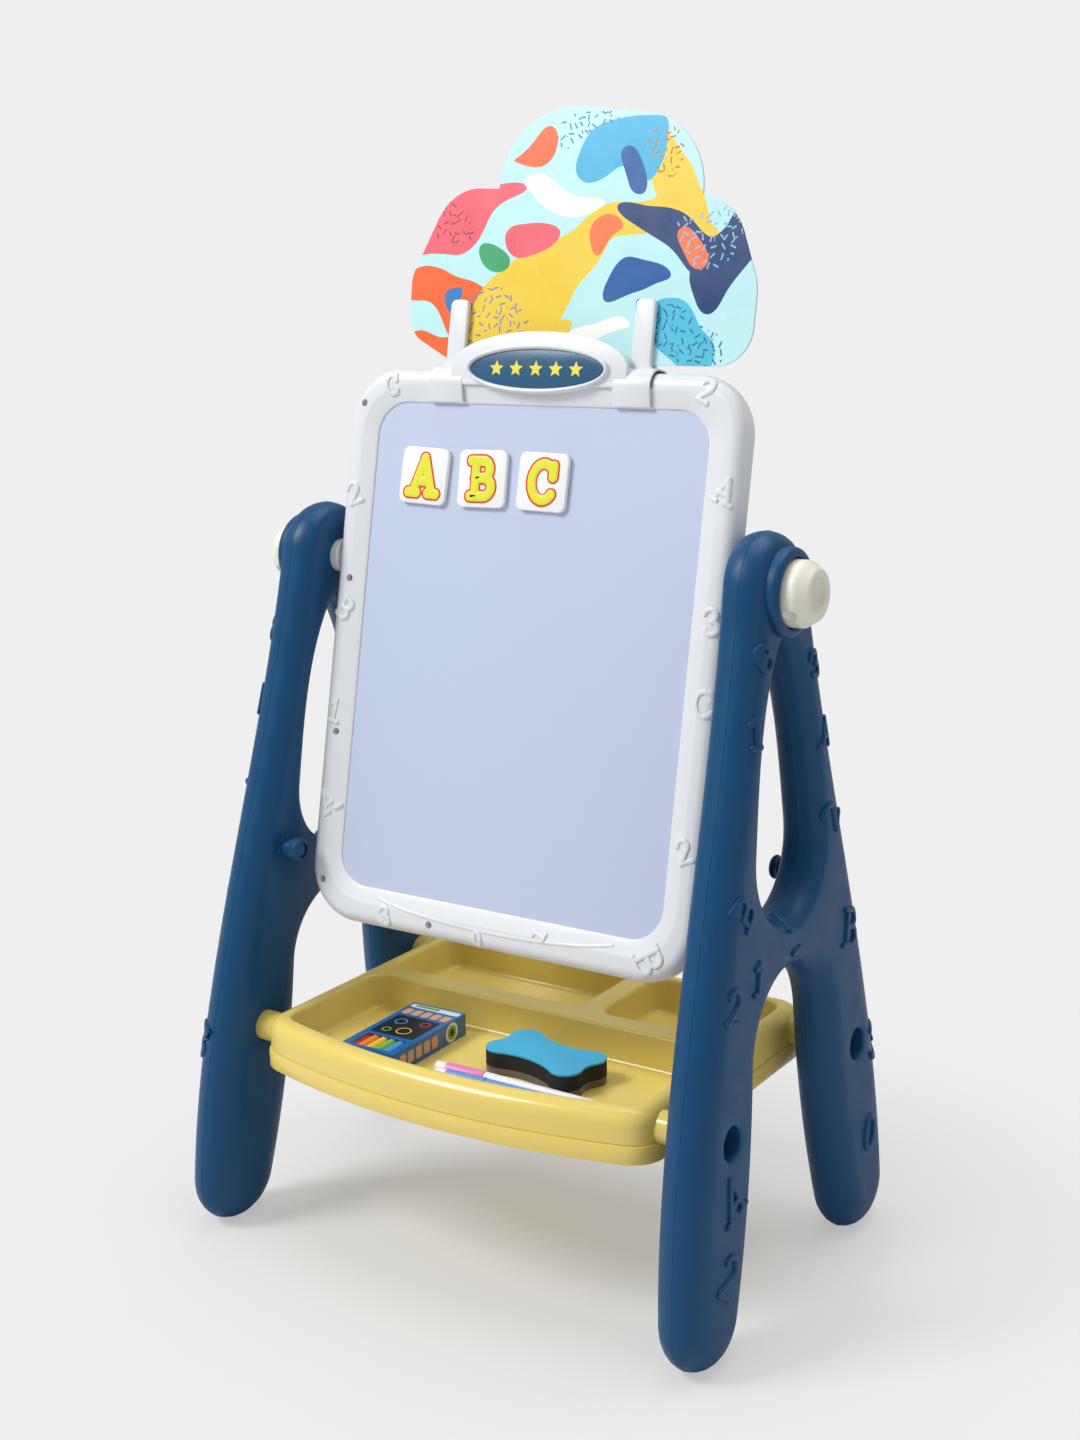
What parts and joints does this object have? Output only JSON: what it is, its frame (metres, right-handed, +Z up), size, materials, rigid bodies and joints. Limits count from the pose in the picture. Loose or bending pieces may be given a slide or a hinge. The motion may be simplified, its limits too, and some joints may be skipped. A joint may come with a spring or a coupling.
{
  "type": "children's easel",
  "caption": "Free-standing two-sided children's easel: tilting whiteboard and blackboard between two moulded side frames, with clip-on header, letter tiles, tray, eraser, chalk and markers.",
  "frame": {"origin": "on the floor, midway between the four feet", "axes": "+Z up, the whiteboard faces -Y, +X to the right of someone who faces it"},
  "size_m": [0.492, 0.3358, 0.8923],
  "materials": {
    "frame_blue": "satin, fine grain",
    "shell_white": "semi-gloss",
    "knob_cream": "satin",
    "tray_yellow": "glossy",
    "steel": "bright",
    "whiteboard": "gloss enamel",
    "blackboard": "matt enamel",
    "core": "foam",
    "plate_teal": "gloss",
    "card_print": "printed",
    "tile_white": "printed gloss",
    "magnet": "matt",
    "felt": "felt",
    "foam": "foam",
    "cover_blue": "satin sheet",
    "carton": "printed",
    "chalk": "chalky",
    "marker_pink": "gloss",
    "marker_blue": "gloss",
    "marker_yellow": "gloss",
    "marker_white": "gloss",
    "nib": "fibre"
  },
  "bodies": {
    "stand": {"side_frame_left": "frame_blue", "side_frame_right": "frame_blue", "tilt_stop_left": "frame_blue", "tilt_stop_right": "frame_blue", "tray": "tray_yellow"},
    "board": {"board_frame_front": "shell_white", "board_frame_rear": "shell_white", "whiteboard_panel": "whiteboard", "blackboard_panel": "blackboard", "core_board": "core", "board_screws": "steel", "spindle_left": "shell_white", "spindle_right": "shell_white", "spindle_nut_left": "steel", "spindle_nut_right": "steel"},
    "knob_left": {"knob_left": "knob_cream", "knob_bolt_left": "steel"},
    "knob_right": {"knob_right": "knob_cream", "knob_bolt_right": "steel"},
    "header": {"header_bracket": "shell_white", "nameplate": "plate_teal"},
    "card": {"picture_card": "card_print"},
    "tile_a": {"letter_tile_a": "tile_white", "tile_magnet_a": "magnet"},
    "tile_b": {"letter_tile_b": "tile_white", "tile_magnet_b": "magnet"},
    "tile_c": {"letter_tile_c": "tile_white", "tile_magnet_c": "magnet"},
    "eraser": {"eraser_felt": "felt", "eraser_foam": "foam", "eraser_cover": "cover_blue"},
    "chalk_box": {"chalk_carton": "carton", "chalk_sticks": "chalk"},
    "marker_pink": {"marker_barrel_pink": "marker_white", "marker_tail_plug_pink": "marker_pink", "marker_nib_pink": "nib"},
    "cap_pink": {"marker_cap_pink": "marker_pink", "marker_cap_plug_pink": "marker_white"},
    "marker_blue": {"marker_barrel_blue": "marker_blue", "marker_tail_plug_blue": "marker_blue", "marker_nib_blue": "nib"},
    "cap_blue": {"marker_cap_blue": "marker_blue", "marker_cap_plug_blue": "marker_white"},
    "marker_yellow": {"marker_barrel_yellow": "marker_yellow", "marker_tail_plug_yellow": "marker_yellow", "marker_nib_yellow": "nib"},
    "cap_yellow": {"marker_cap_yellow": "marker_yellow", "marker_cap_plug_yellow": "marker_white"}
  },
  "joints": [
    {"name": "board_tilt", "type": "hinge", "parent": "stand", "child": "board", "pos_m": [0, 0, 0.544], "axis": [1, 0, 0], "range_deg": [-2, 24.6]},
    {"name": "knob_left_turn", "type": "hinge", "parent": "board", "child": "knob_left", "pos_m": [-0.235, 0, 0.544], "axis": [1, 0, 0], "range_deg": [0, 360]},
    {"name": "knob_right_turn", "type": "hinge", "parent": "board", "child": "knob_right", "pos_m": [0.235, 0, 0.544], "axis": [-1, 0, 0], "range_deg": [0, 360]},
    {"name": "header_lift", "type": "slide", "parent": "board", "child": "header", "axis": [0, 0.1959, 0.9806], "range_m": [0, 0.08]},
    {"name": "card_lift", "type": "slide", "parent": "header", "child": "card", "axis": [0, 0.1959, 0.9806], "range_m": [0, 0.08]},
    {"name": "tile_a_pull", "type": "slide", "parent": "board", "child": "tile_a", "axis": [0, -0.9806, 0.1959], "range_m": [0, 0.05]},
    {"name": "tile_b_pull", "type": "slide", "parent": "board", "child": "tile_b", "axis": [0, -0.9806, 0.1959], "range_m": [0, 0.05]},
    {"name": "tile_c_pull", "type": "slide", "parent": "board", "child": "tile_c", "axis": [0, -0.9806, 0.1959], "range_m": [0, 0.05]},
    {"name": "eraser_lift", "type": "slide", "parent": "stand", "child": "eraser", "axis": [0, 0, 1], "range_m": [0, 0.05]},
    {"name": "chalk_box_lift", "type": "slide", "parent": "stand", "child": "chalk_box", "axis": [0, 0, 1], "range_m": [0, 0.05]},
    {"name": "marker_pink_lift", "type": "slide", "parent": "stand", "child": "marker_pink", "axis": [0, 0, 1], "range_m": [0, 0.05]},
    {"name": "cap_pink_pull", "type": "slide", "parent": "marker_pink", "child": "cap_pink", "axis": [-0.9997, -0.0227, 0], "range_m": [0, 0.018]},
    {"name": "marker_blue_lift", "type": "slide", "parent": "stand", "child": "marker_blue", "axis": [0, 0, 1], "range_m": [0, 0.05]},
    {"name": "cap_blue_pull", "type": "slide", "parent": "marker_blue", "child": "cap_blue", "axis": [-0.9995, -0.0314, 0], "range_m": [0, 0.018]},
    {"name": "marker_yellow_lift", "type": "slide", "parent": "stand", "child": "marker_yellow", "axis": [0, 0, 1], "range_m": [0, 0.05]},
    {"name": "cap_yellow_pull", "type": "slide", "parent": "marker_yellow", "child": "cap_yellow", "axis": [-0.9995, -0.0332, 0], "range_m": [0, 0.018]}
  ]
}
